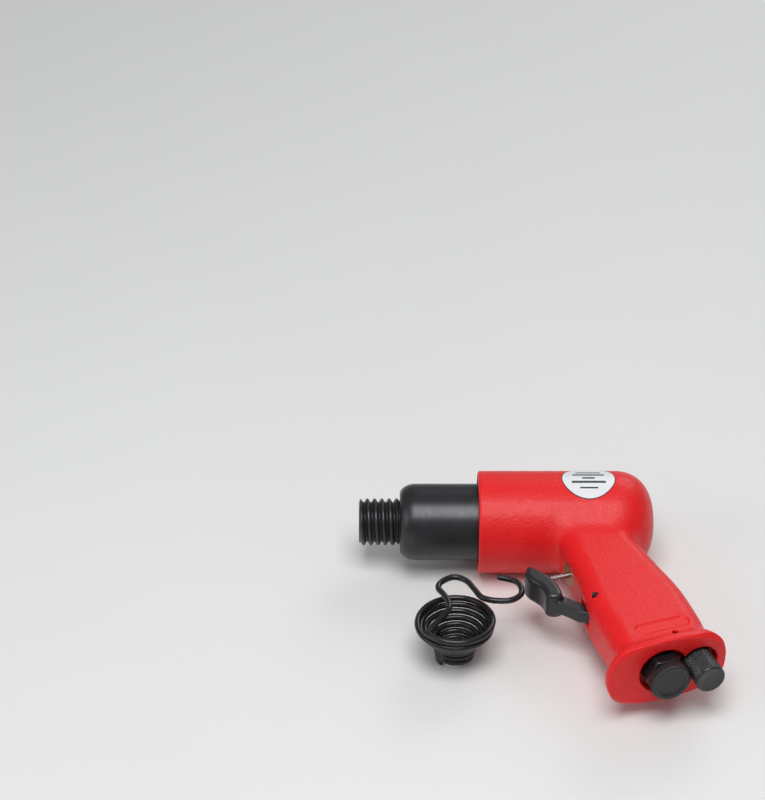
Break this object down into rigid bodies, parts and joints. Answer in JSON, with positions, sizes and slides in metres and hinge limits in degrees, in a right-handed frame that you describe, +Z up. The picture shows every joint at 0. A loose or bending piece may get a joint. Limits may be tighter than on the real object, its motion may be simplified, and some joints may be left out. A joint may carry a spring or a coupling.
{
  "type": "air chisel hammer",
  "caption": "Pistol-grip air chisel hammer with threaded barrel nose, sprung trigger, air regulator, plugged inlet and a loose coiled chisel retainer spring.",
  "frame": {"origin": "mouth of the chisel socket, on the barrel axis", "axes": "+X along the barrel from the muzzle to the rear, -Y towards the end of the grip, +Z up, out of the side of the hammer that faces up"},
  "size_m": [0.1776, 0.1553, 0.0521],
  "materials": {
    "housing_paint": "gloss red paint over a cast housing",
    "barrel_steel": "satin black phosphated steel",
    "piston_steel": "ground hardened steel",
    "plate_steel": "ground steel",
    "disc_steel": "lapped steel",
    "box_steel": "machined steel",
    "dowel_steel": "ground steel",
    "washer_steel": "spring steel",
    "bushing_brass": "turned brass",
    "bushing_oring_rubber": "matt rubber",
    "stem_steel": "ground steel",
    "valve_brass": "turned brass",
    "seal_rubber": "matt rubber",
    "spring_steel": "spring steel",
    "trigger_black": "satin black",
    "pin_steel": "dark spring steel",
    "knob_black": "black oxide knurled steel",
    "spindle_steel": "turned steel",
    "regulator_oring_rubber": "matt rubber",
    "gland_brass": "turned brass",
    "inlet_black": "black oxide steel",
    "gasket_fibre": "pressed fibre",
    "screen_steel": "fine wire mesh",
    "lock_pin_steel": "dark spring steel",
    "plug_plastic": "matt black plastic",
    "label_film": "white film with a thin dark rim",
    "retainer_black": "black oxide spring steel"
  },
  "bodies": {
    "hammer_body": {"housing": "housing_paint", "barrel": "barrel_steel", "valve_front_plate": "plate_steel", "valve_box": "box_steel", "valve_dowel": "dowel_steel", "wave_washer": "washer_steel", "throttle_bushing": "bushing_brass", "throttle_bushing_oring": "bushing_oring_rubber", "throttle_spring": "spring_steel", "trigger_pin": "pin_steel", "regulator_gland": "gland_brass", "inlet_bushing": "inlet_black", "inlet_gasket": "gasket_fibre", "inlet_screen": "screen_steel", "inlet_lock_pin": "lock_pin_steel", "label": "label_film"},
    "striker": {"piston": "piston_steel"},
    "air_valve": {"valve_disc": "disc_steel"},
    "throttle": {"throttle_stem": "stem_steel", "throttle_valve": "valve_brass", "throttle_seal": "seal_rubber"},
    "trigger_lever": {"trigger": "trigger_black"},
    "regulator": {"regulator_knob": "knob_black", "regulator_spindle": "spindle_steel", "regulator_oring": "regulator_oring_rubber"},
    "plug": {"inlet_plug": "plug_plastic"},
    "retainer": {"retainer_spring": "retainer_black"}
  },
  "joints": [
    {"name": "trigger_pull", "type": "hinge", "parent": "hammer_body", "child": "trigger_lever", "pos_m": [0.11573, -0.0746, 0], "axis": [0, 0, -1], "range_deg": [0, 7], "stiffness_Nm_per_rad": 1.2, "springref_deg": -14.32},
    {"name": "throttle_slide", "type": "slide", "parent": "hammer_body", "child": "throttle", "axis": [0.9432, 0.3322, 0], "range_m": [0, 0.0041], "deforming": ["throttle_spring"]},
    {"name": "regulator_turn", "type": "hinge", "parent": "hammer_body", "child": "regulator", "pos_m": [0.16424, -0.10968, 0], "axis": [0.3322, -0.9432, 0], "range_deg": [0, 270]},
    {"name": "piston_stroke", "type": "slide", "parent": "hammer_body", "child": "striker", "axis": [1, 0, 0], "range_m": [0, 0.044]},
    {"name": "valve_shift", "type": "slide", "parent": "hammer_body", "child": "air_valve", "axis": [1, 0, 0], "range_m": [0, 0.0013]},
    {"name": "plug_unscrew", "type": "slide", "parent": "hammer_body", "child": "plug", "axis": [0.3322, -0.9432, 0], "range_m": [0, 0.03]},
    {"name": "retainer_aside", "type": "slide", "parent": "hammer_body", "child": "retainer", "axis": [-1, 0, 0], "range_m": [0, 0.05]}
  ],
  "couplings": [
    {"joint": "throttle_slide", "follows": "trigger_pull", "m_per_rad": 0.0324}
  ]
}
